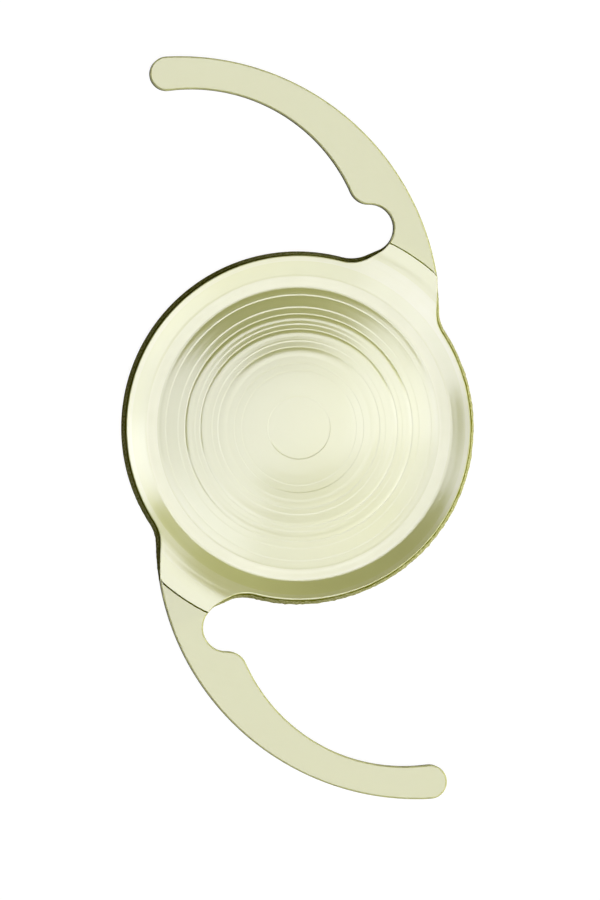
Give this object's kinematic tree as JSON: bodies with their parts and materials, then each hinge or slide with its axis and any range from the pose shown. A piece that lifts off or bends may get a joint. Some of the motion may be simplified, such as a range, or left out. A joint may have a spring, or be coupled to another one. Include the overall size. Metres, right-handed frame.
{
  "type": "intraocular lens",
  "caption": "One-piece foldable intraocular lens: biconvex optic with a ringed back face, leaning edge wall, stepped shoulders and C-shaped support loops half a turn apart.",
  "frame": {"origin": "on the optical axis, at the lowest point of the front face", "axes": "+Z along the optical axis out of the ringed back face, +Y along the length from loop to loop, +X across the optic"},
  "size_m": [0.006, 0.0126, 0.0008],
  "materials": {
    "soft_acrylic": "soft moulded and milled acrylic, pale yellow, glossy faces with a frosted edge wall"
  },
  "bodies": {
    "root": {"intraocular_lens": "soft_acrylic"}
  },
  "joints": []
}
